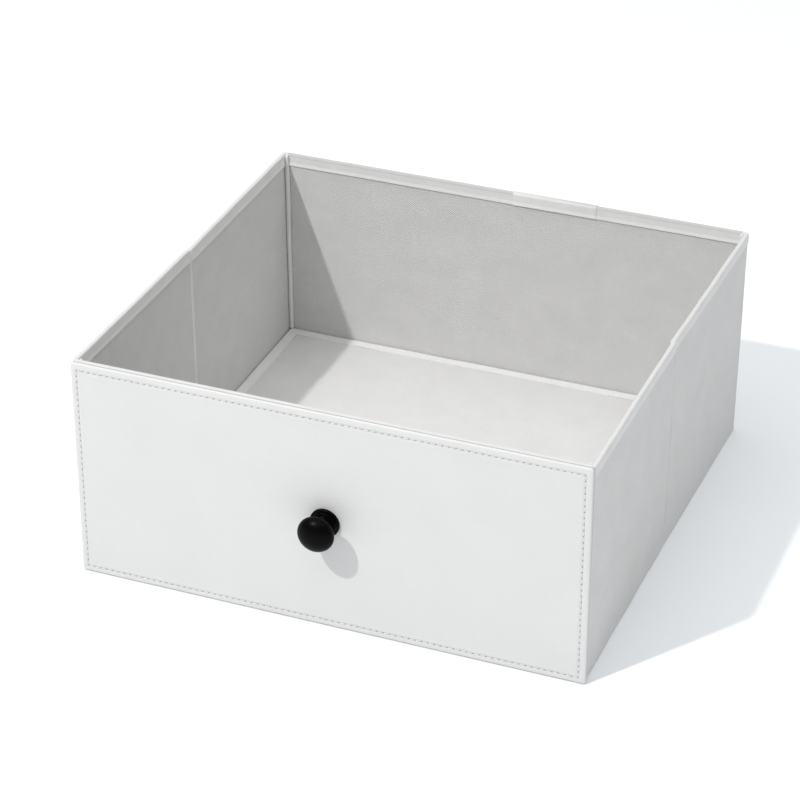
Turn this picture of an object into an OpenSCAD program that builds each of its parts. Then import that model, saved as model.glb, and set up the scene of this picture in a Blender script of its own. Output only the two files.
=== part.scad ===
// Folding fabric drawer: a board-stiffened cloth body with a leather-look front panel,
// a turned mushroom knob and a loose lift-out floor.
// Frame: +X right, front panel faces -Y, +Z up. The origin is on the standing plane,
// midway between the knob's tip and the back of the rim.

/* [Overall size] */
// Width of the front panel
drawer_w = 400; // [320:5:480]
// Depth from the front panel's face to the back of the rim tape
drawer_d = 385; // [300:5:450]
// Height of the front panel and of the rim
drawer_h = 180; // [140:5:240]

/* [Front panel] */
// Thickness of the leather-look cover sheet
cover_t = 1.0; // [0.6:0.1:1.2]
// Thickness of the panel board inside the cover
panel_board_t = 1.6; // [1.2:0.1:4]
// Width of the cover's hem, turned over onto the back of the board
cover_hem_w = 18; // [12:1:30]
// Corner radius of the front panel's outline
panel_corner_r = 2.5; // [1:0.5:5]
// How far the cloth body is set in from each side of the front panel
body_inset = 1.5; // [1:0.1:3]

/* [Seam stitching] */
// Distance from the stitch line to the panel's edge
stitch_inset = 4.5; // [4:0.5:8]
// Nominal stitch pitch
stitch_pitch = 5; // [4:0.5:8]
// Visible length of one stitch
stitch_len = 3.4; // [2:0.1:3.6]
// Width of the thread
thread_w = 0.7; // [0.4:0.1:1]
// Height of the thread above the cover
thread_proud = 0.35; // [0.2:0.05:0.5]

/* [Cloth walls] */
// Thickness of the wall's grey board
wall_board_t = 2.0; // [1.5:0.1:2.5]
// Thickness of one layer of cloth
cloth_t = 0.5; // [0.3:0.1:0.6]
// Depth of the rim tape on the inside of the walls
tape_inner_h = 10; // [8:1:14]
// Depth of the rim tape on the outside of the walls
tape_outer_h = 8; // [6:1:12]

/* [Floor] */
// Height of the floor's top face above the ground
floor_top = 16; // [14:0.5:20]
// Overall thickness of the bound floor
floor_t = 4.4; // [3.6:0.1:5]
// Width of the binding on the floor's border
binding_w = 10; // [6:1:14]
// Corner radius of the floor
floor_corner_r = 8; // [7:0.5:14]

/* [Knob] */
// Radius of the knob's head
knob_r = 14; // [12:0.5:18]
// Distance from the panel's face to the knob's tip
knob_reach = 26; // [24:0.5:30]
// Distance from the panel's face to the widest part of the head
knob_wide_at = 17; // [16:0.5:18]
// Radius of the knob's foot flange
knob_foot_r = 11.5; // [10:0.5:13]
// Radius of the knob's neck at its narrowest
knob_neck_r = 6.5; // [5.5:0.5:8]

/* [Hidden] */
$fn = 96;
cut = 1;                    // how far cutting shapes run past a face
play = 0.3;                 // clearance between separate bodies

wall_t = wall_board_t + 2 * cloth_t;
panel_t = cover_t + panel_board_t + cover_t;
front_y = (knob_reach - drawer_d) / 2;         // the front panel's face
front_wall_y = front_y + panel_t + wall_t;     // inner face of the front cloth wall
back_wall_y = front_y + drawer_d - cloth_t - wall_t;  // inner face of the back cloth wall
body_x = drawer_w / 2 - body_inset;            // outer face of the side walls
wall_x = body_x - wall_t;                      // inner face of the side walls
wall_top = drawer_h - cloth_t;
hem_low = 0.6;                                 // the cloth's lower edge
wall_low = floor_top + play;                   // lower edge of the folding walls

// Fold lines. Corner hinges sit just inside the corners, and the crease hinges just
// outside the middle of the side walls, so that the halves fold together face to face.
corner_in = 2.0;            // corner axis from the faces of both walls
crease_out = 0.7;           // crease axis beyond the side wall's outer face
end_gap = 0.9;              // gap between a side wall's end and the next wall
crease_gap = 0.9;           // gap between the two halves of a side wall
corner_x = wall_x - corner_in;
front_corner_y = front_wall_y + corner_in;
back_corner_y = back_wall_y - corner_in;
half_len = (back_wall_y - front_wall_y - 2 * end_gap - crease_gap) / 2;
front_half_y = front_wall_y + end_gap + half_len / 2;   // middle of a front half wall
rear_half_y = back_wall_y - end_gap - half_len / 2;     // middle of a rear half wall
tape_setback = 3.0;         // the side tapes stop short of the corner piping

piping_r = 1.4;
piping_tail_w = 1.6;

base_top = floor_top - floor_t - play;         // upper face of the base cloth
base_t = 0.7;
band_t = 2.0;
band_set = 1.1;             // base bands behind the walls' outer face

floor_side_gap = 1.2;       // floor edge to the side and back walls
floor_front_gap = 3.7;      // floor edge to the front wall, clear of the screw head
floor_half_w = wall_x - floor_side_gap;
floor_front_y = front_wall_y + floor_front_gap;
floor_back_y = back_wall_y - floor_side_gap;

screw_r = 2.0;
screw_hole_r = 2.2;
insert_r = 3.0;
insert_len = 12;
insert_bore_r = 2.05;
washer_r = 6.0;
washer_t = 1.0;
screw_head_r = 4.0;
screw_head_h = 2.4;
screw_tip = 11.5;           // how far the screw reaches past the panel's face
recess_len = 4.6;
recess_w = 0.9;
recess_deep = 1.2;
knob_z = drawer_h / 2;

leather_white = [0.93, 0.93, 0.92];
cloth_white = [0.88, 0.88, 0.87];
tape_white = [0.91, 0.91, 0.90];
board_grey = [0.62, 0.60, 0.57];
thread_grey = [0.80, 0.80, 0.79];
knob_black = [0.03, 0.03, 0.03];
brass = [0.78, 0.62, 0.30];
steel = [0.70, 0.71, 0.72];

// ---- shared shapes ----

// A box given by its lowest and highest corners
module span(low, high) {
    translate(low) cube(high - low);
}

// A flat rectangle about the origin with round corners
module round_rect(w, h, r) {
    square([w, h - 2 * r], center = true);
    square([w - 2 * r, h], center = true);
    for (x = [-1, 1], y = [-1, 1]) {
        translate([x * (w / 2 - r), y * (h / 2 - r)]) circle(r);
    }
}

// A standing slab of the front panel's outline, between two depths behind its face
module panel_slab(from, to, margin) {
    translate([0, front_y + to, drawer_h / 2])
    rotate([90, 0, 0])
    linear_extrude(to - from)
    round_rect(drawer_w - 2 * margin, drawer_h - 2 * margin, panel_corner_r - margin / 2);
}

// A round bar along the knob's axis, between two depths behind the panel's face
module knob_bar(from, to, r) {
    translate([0, front_y + to, knob_z]) rotate([90, 0, 0]) cylinder(h = to - from, r = r);
}

// Walls are drawn lying along X with their inner face on Y = 0 and their outside
// towards +Y, and are then set on the back, the front or a side.
module on_back() {
    translate([0, back_wall_y, 0]) children();
}

module on_front() {
    translate([0, front_wall_y, 0]) mirror([0, 1, 0]) children();
}

module on_right(middle_y) {
    translate([wall_x, middle_y, 0]) mirror([1, -1, 0]) children();
}

module on_left(middle_y) {
    mirror([1, 0, 0]) on_right(middle_y) children();
}

// ---- wall layers ----

// Outer cloth, turned in around the ends and the lower edge of the board
module wall_skin(length, low) {
    color(cloth_white)
    difference() {
        span([-length / 2, 0, low], [length / 2, wall_t, wall_top]);
        span([-length / 2 + cloth_t, -cut, low + cloth_t],
             [length / 2 - cloth_t, wall_t - cloth_t, wall_top + cut]);
    }
}

// Grey board between the two layers of cloth
module wall_board(length, low) {
    color(board_grey)
    span([-length / 2 + cloth_t, cloth_t, low + cloth_t],
         [length / 2 - cloth_t, wall_t - cloth_t, wall_top]);
}

// Inner cloth
module wall_lining(length, low) {
    color(cloth_white)
    span([-length / 2 + cloth_t, 0, low + cloth_t],
         [length / 2 - cloth_t, cloth_t, wall_top]);
}

// Binding folded over the top of a wall: a U with a shorter outer leg
module rim_tape(from, to) {
    color(tape_white)
    difference() {
        span([from, -cloth_t, drawer_h - tape_inner_h], [to, wall_t + cloth_t, drawer_h]);
        span([from - cut, 0, drawer_h - tape_inner_h - cut], [to + cut, wall_t, wall_top]);
        span([from - cut, wall_t - cut, drawer_h - tape_inner_h - cut],
             [to + cut, wall_t + cloth_t + cut, drawer_h - tape_outer_h]);
    }
}

// Lower strip of the outer cloth, hanging free below the board
module wall_hem(length) {
    color(cloth_white)
    span([-length / 2, wall_t - cloth_t, hem_low], [length / 2, wall_t, wall_low]);
}

// Filled cord sewn into an inner corner, with its seam running to the wall behind it
module corner_piping(x, y, tail_y) {
    color(tape_white)
    union() {
        translate([x, y, wall_low]) cylinder(h = wall_top - wall_low, r = piping_r);
        span([x - piping_tail_w / 2, min(y, tail_y), wall_low],
             [x + piping_tail_w / 2, max(y, tail_y), drawer_h - tape_inner_h]);
    }
}

// ---- front panel ----

module knob_hole() {
    knob_bar(-cut, panel_t + wall_t + cut, screw_hole_r);
}

// Cover sheet: face, four wrapped edges and a hem turned over onto the back,
// notched where the rim tape of the front wall lies against it
module front_cover() {
    color(leather_white)
    difference() {
        panel_slab(0, panel_t, 0);
        panel_slab(cover_t, cover_t + panel_board_t, cover_t);
        span([-drawer_w / 2 + cover_hem_w, front_y + cover_t + cut, cover_hem_w],
             [drawer_w / 2 - cover_hem_w, front_y + panel_t + cut, drawer_h - cover_hem_w]);
        span([-body_x, front_wall_y - wall_t - cloth_t, drawer_h - tape_outer_h],
             [body_x, front_wall_y, drawer_h + cut]);
        knob_hole();
    }
}

module front_board() {
    color(board_grey)
    difference() {
        panel_slab(cover_t, cover_t + panel_board_t, cover_t);
        knob_hole();
    }
}

// One lockstitch lying on the panel's face
module stitch(x, z, along_x) {
    half_x = (along_x ? stitch_len : thread_w) / 2;
    half_z = (along_x ? thread_w : stitch_len) / 2;
    span([x - half_x, front_y - thread_proud, z - half_z], [x + half_x, front_y, z + half_z]);
}

// A row of lockstitches around the panel
module front_stitching() {
    run_w = drawer_w - 2 * stitch_inset;
    run_h = drawer_h - 2 * stitch_inset;
    count_w = round(run_w / stitch_pitch);
    count_h = round(run_h / stitch_pitch);
    color(thread_grey) {
        for (i = [0:count_w - 1], z = [stitch_inset, drawer_h - stitch_inset]) {
            stitch(-run_w / 2 + (i + 0.5) * run_w / count_w, z, true);
        }
        for (i = [0:count_h - 1], x = [-run_w / 2, run_w / 2]) {
            stitch(x, stitch_inset + (i + 0.5) * run_h / count_h, false);
        }
    }
}

// ---- knob ----

// Points of an elliptical arc, from one angle to another, as [radius, height]
function arc(centre, rx, ry, from, to, steps) =
    [for (i = [0:steps]) let (a = from + (to - from) * i / steps)
        centre + [rx * cos(a), ry * sin(a)]];

// Outline of the turned knob from its foot to its tip
function knob_outline() =
    let (
        foot_h = 2.4,
        foot_round = 0.9,
        ring_r = 9.4,
        ring_h = 1.5,
        cove_w = 0.8,
        cove_h = 1.4,
        ring_top = foot_h + ring_h,
        under_h = 6.5,
        under_a = acos(knob_neck_r / knob_r),
        dome_steps = 18,
        first_step = 90 / dome_steps
    )
    concat(
        [[0, 0], [knob_foot_r, 0]],
        arc([knob_foot_r - foot_round, foot_h - foot_round], foot_round, foot_round, 0, 90, 6),
        arc([ring_r - ring_h / 2, foot_h + ring_h / 2], ring_h / 2, ring_h / 2, -90, 90, 8),
        [[knob_neck_r + cove_w, ring_top], [knob_neck_r, ring_top + cove_h]],
        arc([0, knob_wide_at], knob_r, under_h, -under_a, 0, 13),
        arc([0, knob_wide_at], knob_r, knob_reach - knob_wide_at, first_step, 90, dome_steps - 1)
    );

module knob() {
    color(knob_black)
    difference() {
        translate([0, front_y, knob_z])
        rotate([90, 0, 0])
        rotate_extrude()
        polygon(knob_outline());
        knob_bar(-insert_len, cut, insert_r);
    }
}

module knob_insert() {
    color(brass)
    difference() {
        knob_bar(-insert_len, 0, insert_r);
        knob_bar(-insert_len - cut, cut, insert_bore_r);
    }
}

module knob_washer() {
    seat = panel_t + wall_t;
    color(steel)
    difference() {
        knob_bar(seat, seat + washer_t, washer_r);
        knob_bar(seat - cut, seat + washer_t + cut, screw_hole_r);
    }
}

// Pan-head screw through the panel, with a cross recess in its head
module knob_screw() {
    seat = panel_t + wall_t + washer_t;
    top = seat + screw_head_h;
    color(steel)
    difference() {
        union() {
            knob_bar(-screw_tip, seat, screw_r);
            knob_bar(seat, top, screw_head_r);
        }
        for (turn = [0, 90]) {
            translate([0, front_y + top, knob_z]) rotate([0, turn, 0])
            cube([recess_len, 2 * recess_deep, recess_w], center = true);
        }
    }
}

// ---- front cloth wall ----

module front_wall_board() {
    difference() {
        on_front() wall_board(2 * body_x, hem_low);
        knob_hole();
    }
}

module front_wall_skin() {
    difference() {
        on_front() wall_skin(2 * body_x, hem_low);
        knob_hole();
    }
}

module front_wall_lining() {
    difference() {
        on_front() wall_lining(2 * body_x, hem_low);
        knob_hole();
    }
}

module front_wall_rim_tape() { on_front() rim_tape(-body_x, body_x); }
module front_left_piping() { corner_piping(-corner_x, front_corner_y, front_wall_y); }
module front_right_piping() { corner_piping(corner_x, front_corner_y, front_wall_y); }

// ---- base ----

// Cloth sewn across the bottom of the walls, under the loose floor
module base_cloth() {
    inner_x = body_x - band_set - band_t;
    color(cloth_white)
    span([-inner_x, front_wall_y, base_top - base_t], [inner_x, back_wall_y, base_top]);
}

// Turned-down edges of the base cloth, which stand on the ground inside the hems
module right_base_band() {
    color(cloth_white)
    span([body_x - band_set - band_t, front_wall_y + play, 0],
         [body_x - band_set, back_wall_y, floor_top]);
}

module left_base_band() { mirror([1, 0, 0]) right_base_band(); }

module back_base_band() {
    color(cloth_white)
    span([-body_x + band_set, back_wall_y, 0],
         [body_x - band_set, back_wall_y + band_t - cloth_t, floor_top]);
}

// ---- side walls, each in two halves ----

// Tape positions measured from the middle of a half wall
tape_far = half_len / 2;
tape_near = half_len / 2 - tape_setback;

module left_front_board() { on_left(front_half_y) wall_board(half_len, wall_low); }
module left_front_skin() { on_left(front_half_y) wall_skin(half_len, wall_low); }
module left_front_lining() { on_left(front_half_y) wall_lining(half_len, wall_low); }
module left_front_rim_tape() { on_left(front_half_y) rim_tape(-tape_near, tape_far); }
module left_front_hem() { on_left(front_half_y) wall_hem(half_len); }

module left_rear_board() { on_left(rear_half_y) wall_board(half_len, wall_low); }
module left_rear_skin() { on_left(rear_half_y) wall_skin(half_len, wall_low); }
module left_rear_lining() { on_left(rear_half_y) wall_lining(half_len, wall_low); }
module left_rear_rim_tape() { on_left(rear_half_y) rim_tape(-tape_far, tape_near); }
module left_rear_hem() { on_left(rear_half_y) wall_hem(half_len); }

module right_front_board() { on_right(front_half_y) wall_board(half_len, wall_low); }
module right_front_skin() { on_right(front_half_y) wall_skin(half_len, wall_low); }
module right_front_lining() { on_right(front_half_y) wall_lining(half_len, wall_low); }
module right_front_rim_tape() { on_right(front_half_y) rim_tape(-tape_near, tape_far); }
module right_front_hem() { on_right(front_half_y) wall_hem(half_len); }

module right_rear_board() { on_right(rear_half_y) wall_board(half_len, wall_low); }
module right_rear_skin() { on_right(rear_half_y) wall_skin(half_len, wall_low); }
module right_rear_lining() { on_right(rear_half_y) wall_lining(half_len, wall_low); }
module right_rear_rim_tape() { on_right(rear_half_y) rim_tape(-tape_far, tape_near); }
module right_rear_hem() { on_right(rear_half_y) wall_hem(half_len); }

// ---- back wall ----

module back_board() { on_back() wall_board(2 * body_x, wall_low); }
module back_skin() { on_back() wall_skin(2 * body_x, wall_low); }
module back_lining() { on_back() wall_lining(2 * body_x, wall_low); }
module back_rim_tape() { on_back() rim_tape(-body_x, body_x); }
module back_hem() { on_back() wall_hem(2 * body_x); }
module rear_left_piping() { corner_piping(-corner_x, back_corner_y, back_wall_y); }
module rear_right_piping() { corner_piping(corner_x, back_corner_y, back_wall_y); }

// ---- loose floor ----

// A horizontal slab of the floor's outline, set in by a margin
module floor_slab(low, high, margin) {
    size_y = floor_back_y - floor_front_y;
    translate([0, (floor_front_y + floor_back_y) / 2, low])
    linear_extrude(high - low)
    round_rect(2 * (floor_half_w - margin), size_y - 2 * margin, floor_corner_r - margin / 2);
}

floor_low = floor_top - floor_t;

module floor_board() {
    color(board_grey)
    floor_slab(floor_low + 2 * cloth_t, floor_top - 2 * cloth_t, cloth_t);
}

module floor_top_cover() {
    color(cloth_white)
    floor_slab(floor_top - 2 * cloth_t, floor_top - cloth_t, cloth_t);
}

module floor_bottom_cover() {
    color(cloth_white)
    floor_slab(floor_low + cloth_t, floor_low + 2 * cloth_t, cloth_t);
}

// Binding folded around the floor's edge
module floor_binding() {
    color(tape_white)
    difference() {
        floor_slab(floor_low, floor_top, 0);
        floor_slab(floor_low + cloth_t, floor_top - cloth_t, cloth_t);
        floor_slab(floor_low - cut, floor_top + cut, binding_w);
    }
}

// ---- output ----

front_cover();
front_board();
front_stitching();
knob();
knob_insert();
knob_screw();
knob_washer();
front_wall_board();
front_wall_skin();
front_wall_lining();
front_wall_rim_tape();
front_left_piping();
front_right_piping();
base_cloth();
left_base_band();
right_base_band();
back_base_band();
left_front_board();
left_front_skin();
left_front_lining();
left_front_rim_tape();
left_front_hem();
left_rear_board();
left_rear_skin();
left_rear_lining();
left_rear_rim_tape();
left_rear_hem();
right_front_board();
right_front_skin();
right_front_lining();
right_front_rim_tape();
right_front_hem();
right_rear_board();
right_rear_skin();
right_rear_lining();
right_rear_rim_tape();
right_rear_hem();
back_board();
back_skin();
back_lining();
back_rim_tape();
back_hem();
rear_left_piping();
rear_right_piping();
floor_board();
floor_top_cover();
floor_bottom_cover();
floor_binding();
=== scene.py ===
"""Looks of a folding fabric drawer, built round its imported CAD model.

A leather-look front panel with a turned knob, cloth walls over grey board that fold at the
corners and at a crease in each side, and a loose bound floor. Everything is in metres:
+X right, the front faces -Y, +Z up."""

import math

import bmesh
import bpy
import numpy as np
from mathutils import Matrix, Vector

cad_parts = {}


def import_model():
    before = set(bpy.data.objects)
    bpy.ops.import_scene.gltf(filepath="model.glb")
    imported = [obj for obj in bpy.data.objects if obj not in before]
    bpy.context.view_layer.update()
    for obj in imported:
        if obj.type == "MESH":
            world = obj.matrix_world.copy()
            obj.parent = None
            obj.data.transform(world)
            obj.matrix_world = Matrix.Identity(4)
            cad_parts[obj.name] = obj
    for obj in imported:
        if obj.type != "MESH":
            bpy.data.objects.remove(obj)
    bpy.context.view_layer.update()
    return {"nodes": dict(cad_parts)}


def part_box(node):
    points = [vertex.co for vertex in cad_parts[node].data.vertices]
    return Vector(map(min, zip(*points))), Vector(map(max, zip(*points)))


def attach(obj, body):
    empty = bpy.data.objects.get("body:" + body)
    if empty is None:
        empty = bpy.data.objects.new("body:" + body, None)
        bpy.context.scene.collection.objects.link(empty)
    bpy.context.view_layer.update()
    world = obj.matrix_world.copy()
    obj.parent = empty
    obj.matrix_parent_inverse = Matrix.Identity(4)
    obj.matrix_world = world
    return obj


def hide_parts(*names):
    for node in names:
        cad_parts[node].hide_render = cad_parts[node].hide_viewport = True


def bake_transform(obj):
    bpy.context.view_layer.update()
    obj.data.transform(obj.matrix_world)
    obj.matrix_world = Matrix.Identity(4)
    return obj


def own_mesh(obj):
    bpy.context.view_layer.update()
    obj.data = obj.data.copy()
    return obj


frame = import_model()
MM = 0.001

# ---- places read off the CAD ----

panel_lo, panel_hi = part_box("front_cover")
FACE_Y, PANEL_BACK = panel_lo.y, panel_hi.y
PANEL_X, PANEL_TOP = panel_hi.x, panel_hi.z
BOARD_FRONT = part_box("front_board")[0].y
WALL_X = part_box("right_front_lining")[0].x          # inner face of the side walls
WALL_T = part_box("right_front_skin")[1].x - WALL_X
FRONT_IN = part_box("front_wall_lining")[1].y         # inner face of the front wall
BACK_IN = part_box("back_lining")[0].y                # inner face of the back wall
CREASE_Y = (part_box("left_front_skin")[1].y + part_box("left_rear_skin")[0].y) / 2
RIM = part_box("back_rim_tape")[1].z
TAPE_IN_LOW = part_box("back_rim_tape")[0].z
CLOTH = 0.5 * MM
TAPE_OUT_LOW = RIM - 8 * MM                         # lower edge of the tape's outer leg
WALL_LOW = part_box("back_skin")[0].z                 # lower edge of the folding walls
HEM_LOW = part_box("back_hem")[0].z
FLOOR_LO, FLOOR_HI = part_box("floor_binding")
BASE_LO, BASE_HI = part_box("base_cloth")
BAND_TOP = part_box("back_base_band")[1].z
KNOB_LO, KNOB_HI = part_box("knob")
KNOB_Z = (KNOB_LO.z + KNOB_HI.z) / 2

PIPING_R = 1.4 * MM
REAR_PIPING_R = 1.85 * MM   # the rear cords lie fuller in their corners
HINGE_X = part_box("rear_right_piping")[0].x + PIPING_R
HINGE_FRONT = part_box("front_right_piping")[1].y - PIPING_R
HINGE_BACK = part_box("rear_right_piping")[0].y + PIPING_R

# ---- how the cloth has settled ----

# Outward lean of the side walls, from the front corner over the crease to the rear corner.
# At the crease the outer faces stay inside the fold's axis, so the halves can close.
LEAN_RIM = [1.5 * MM, 0.2 * MM, 2.0 * MM]
LEAN_LOW = [-0.2 * MM, -0.9 * MM, 0.4 * MM]
RIM_JOG, JOG_RUN = 0.6 * MM, 9 * MM     # sideways step of the rim at the crease
JOG_LOW = 120 * MM          # the step fades out down to this height
CREASE_DEEP, CREASE_WIDE = 1.0 * MM, 0.8 * MM
TUCK_DEEP, TUCK_WIDE = 0.35 * MM, 0.9 * MM
TUCK_BEHIND = 2.2 * MM      # a shallow tuck follows behind each crease
CREASE_FADE, TUCK_FADE = 6 * MM, 4 * MM     # above the floor, and below the tape
HELD_RUN = 30 * MM          # the side walls lie still near the front panel
BOW_FROM = 100 * MM         # the side walls' cloth shifts with the back wall's behind here
BACK_BOW = 0.8 * MM
RIPPLE = 0.11 * MM
WAVES, WAVE_SHORT, WAVE_LONG = 9, 14 * MM, 90 * MM


def smooth(t):
    """0 to 1 with eased ends."""
    t = np.clip(t, 0, 1)
    return t * t * (3 - 2 * t)


def bell(distance, width):
    """1 at no distance, and next to nothing past twice the width."""
    return np.exp(-((distance / width) ** 2))


def ripple(a, b, seed):
    """Irregular waves of a few centimetres over two coordinates, about -1 to 1."""
    rng = np.random.default_rng(seed)
    total = 0
    for _ in range(WAVES):
        turn, phase = rng.uniform(0, 2 * math.pi, 2)
        wave = rng.uniform(WAVE_SHORT, WAVE_LONG)
        along = a * math.cos(turn) + b * math.sin(turn)
        total = total + wave * np.sin(2 * math.pi * along / wave + phase)
    return total / (150 * MM)


def side_lean(y, z):
    """How far the side walls lie outside their straight CAD place."""
    front = np.clip((y - FRONT_IN) / (CREASE_Y - FRONT_IN), 0, 1)
    rear = np.clip((y - CREASE_Y) / (BACK_IN - CREASE_Y), 0, 1)
    share = front + rear
    rim = np.interp(share, [0, 1, 2], LEAN_RIM)
    low = np.interp(share, [0, 1, 2], LEAN_LOW)
    behind = smooth((y - CREASE_Y) / JOG_RUN + 0.5)
    step = (1 - behind) * front**3 - behind * (1 - rear) ** 3
    lean = low + (rim - low) * z / RIM + RIM_JOG * step * smooth((z - JOG_LOW) / (RIM - JOG_LOW))
    above_floor = smooth((z - FLOOR_HI.z) / CREASE_FADE)
    below_tape = smooth((TAPE_OUT_LOW - z) / TUCK_FADE)
    tuck = TUCK_DEEP * bell(y - CREASE_Y - TUCK_BEHIND, TUCK_WIDE) * below_tape
    return lean + above_floor * (tuck - CREASE_DEEP * bell(y - CREASE_Y, CREASE_WIDE))


def settle(points):
    """Moves points of the straight CAD walls to where the cloth really lies."""
    x, y, z = np.moveaxis(points, -1, 0)
    held = smooth((y - FRONT_IN) / HELD_RUN)
    side = side_lean(y, z) + RIPPLE * held * ripple(y, z, 3)
    toward_back = smooth((y - BOW_FROM) / (BACK_IN - BOW_FROM))
    bow = BACK_BOW * np.cos(math.pi / 2 * np.clip(x / WALL_X, -1, 1)) * np.sin(math.pi * z / RIM)
    back = (RIPPLE * ripple(x, z, 5) - bow) * toward_back
    return np.stack([x + side * x / WALL_X, y + back, z], -1)


# ---- mesh making ----


COARSE, FINE, WIDER = 3.0 * MM, 0.5 * MM, 1.35


def stations(a, b, coarse=COARSE, fine=FINE):
    """Places from a to b, closer together at both ends."""
    size, widths = fine, []
    while size < coarse and 2 * (sum(widths) + size) < abs(b - a) / 2:
        widths.append(size)
        size *= WIDER
    middle = abs(b - a) - 2 * sum(widths)
    count = max(1, round(middle / coarse))
    widths = widths + [middle / count] * count + widths[::-1]
    return a + np.sign(b - a) * np.concatenate([[0], np.cumsum(widths)])


def arc(centre, rx, ry, start, end, steps):
    """Points of an elliptical arc, angles in degrees."""
    a = np.radians(np.linspace(start, end, steps + 1))
    return np.stack([centre[0] + rx * np.cos(a), centre[1] + ry * np.sin(a)], -1)


def two_sides(path, thick):
    """The two faces of a sheet whose middle follows a path in a plane."""
    path = np.array(path, float)
    ahead = np.diff(path, axis=0)
    ahead /= np.linalg.norm(ahead, axis=1)[:, None]
    mean = np.vstack([ahead[:1], ahead[:-1] + ahead[1:], ahead[-1:]])
    mean /= np.linalg.norm(mean, axis=1)[:, None]
    stretch = 1 / np.clip(np.einsum("ij,ij->i", mean, np.vstack([ahead[:1], ahead])), 0.5, 1)
    normal = np.stack([mean[:, 1], -mean[:, 0]], -1) * (stretch * thick / 2)[:, None]
    return path + normal, path - normal


def spread_out(*coordinates):
    """Points from coordinates given as rows, columns or numbers."""
    return np.stack(np.broadcast_arrays(*coordinates), -1)


def crossed(along, across):
    """Every pair of a place along a sheet and one across it."""
    return np.stack(np.meshgrid(along, across, indexing="ij"), -1)


def lengths(path):
    """Distance along a path, at each of its points."""
    step = np.linalg.norm(np.diff(np.array(path, float), axis=0), axis=1)
    return np.concatenate([[0], np.cumsum(step)])


def add_object(name, data):
    made = bpy.data.objects.new(name, data)
    bpy.context.scene.collection.objects.link(made)
    return made


def mesh_piece(name, points, faces, material, corners_uv=None, sharp=42):
    mesh = bpy.data.meshes.new(name)
    points = np.asarray(points).reshape(-1, 3).tolist()
    mesh.from_pydata(points, [], [list(map(int, f)) for f in faces])
    if corners_uv is not None:
        layer = mesh.uv_layers.new(name="cloth")
        layer.data.foreach_set("uv", np.asarray(corners_uv, np.float32).ravel())
    work = bmesh.new()
    work.from_mesh(mesh)
    bmesh.ops.remove_doubles(work, verts=work.verts, dist=0.0001 * MM)
    bmesh.ops.recalc_face_normals(work, faces=work.faces)
    work.to_mesh(mesh)
    work.free()
    mesh.shade_smooth()
    mesh.set_sharp_from_angle(angle=math.radians(sharp))
    mesh.materials.append(material)
    return add_object(name, mesh)


def grid_quads(grid):
    """The four corners of every cell of a grid."""
    return np.stack([grid[:-1, :-1], grid[1:, :-1], grid[1:, 1:], grid[:-1, 1:]], 2)


def numbered(grid):
    """The number of each point of a grid, counted from 0."""
    return np.arange(grid[..., 0].size).reshape(grid.shape[:-1])


def ring_quads(ids):
    """The faces between rows of numbered points, where each row is a closed ring."""
    return grid_quads(np.hstack([ids, ids[:, :1]])).reshape(-1, 4).tolist()


def shell(name, outer, inner, material, uv, loop=False):
    """A closed thin mesh between two grids of points. loop joins the last row to the first."""
    near = numbered(outer)
    count = near.size
    if loop:
        near = np.vstack([near, near[:1]])
    far = near + count
    grids = [(near, uv), (far, uv)]
    for column in (0, -1):
        grids.append((np.stack([near[:, column], far[:, column]], 1), np.stack([uv[:, column]] * 2, 1)))
    if not loop:
        for row in (0, -1):
            grids.append((np.stack([near[row], far[row]], 1), np.stack([uv[row]] * 2, 1)))
    faces = np.concatenate([grid_quads(ids).reshape(-1, 4) for ids, _ in grids])
    places = np.concatenate([grid_quads(where).reshape(-1, 2) for _, where in grids])
    return mesh_piece(name, np.stack([outer, inner]), faces, material, places)


# ---- the plan of the walls ----

CORNER_R = 0.4 * MM         # corner radius of the walls' inner face
LEG = 1.6 * MM              # length of a corner piece's legs, past the turn
SIDE_RUN = BACK_IN - FRONT_IN - 2 * CORNER_R
WIDE_RUN = 2 * (WALL_X - CORNER_R)
TURN = CORNER_R * math.pi / 2

# The plan runs round the inner face from the middle of the front: to the right, back along
# the right wall, along the back and forward along the left wall.
FRONT_RIGHT = WIDE_RUN / 2
REAR_RIGHT = FRONT_RIGHT + TURN + SIDE_RUN
REAR_LEFT = REAR_RIGHT + TURN + WIDE_RUN
FRONT_LEFT = REAR_LEFT + TURN + SIDE_RUN
PLAN_END = FRONT_LEFT + TURN + WIDE_RUN / 2
RIGHT_CREASE = FRONT_RIGHT + TURN + CREASE_Y - FRONT_IN - CORNER_R
LEFT_CREASE = REAR_LEFT + TURN + BACK_IN - CORNER_R - CREASE_Y
# The doubled rim tape on the back, from 74 to 4 mm right of its middle
LAP_START, LAP_END = (REAR_RIGHT + TURN + WALL_X - CORNER_R - x for x in (74 * MM, 4 * MM))

CORNERS = [
    (FRONT_RIGHT, WALL_X - CORNER_R, FRONT_IN + CORNER_R, -90),
    (REAR_RIGHT, WALL_X - CORNER_R, BACK_IN - CORNER_R, 0),
    (REAR_LEFT, CORNER_R - WALL_X, BACK_IN - CORNER_R, 90),
    (FRONT_LEFT, CORNER_R - WALL_X, FRONT_IN + CORNER_R, 180),
]


def plan(s):
    """Place and outward direction of the walls' inner face at distance s round it."""
    s %= PLAN_END
    if s < FRONT_RIGHT:
        return (s, FRONT_IN), (0, -1)
    for start, cx, cy, angle in reversed(CORNERS):
        if s >= start:
            turned = min((s - start) / CORNER_R, math.pi / 2)
            past = max(0, s - start - TURN)
            a = math.radians(angle) + turned
            out = (math.cos(a), math.sin(a))
            x = cx + CORNER_R * out[0] - past * out[1]
            y = cy + CORNER_R * out[1] + past * out[0]
            return (x, y), out


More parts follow.
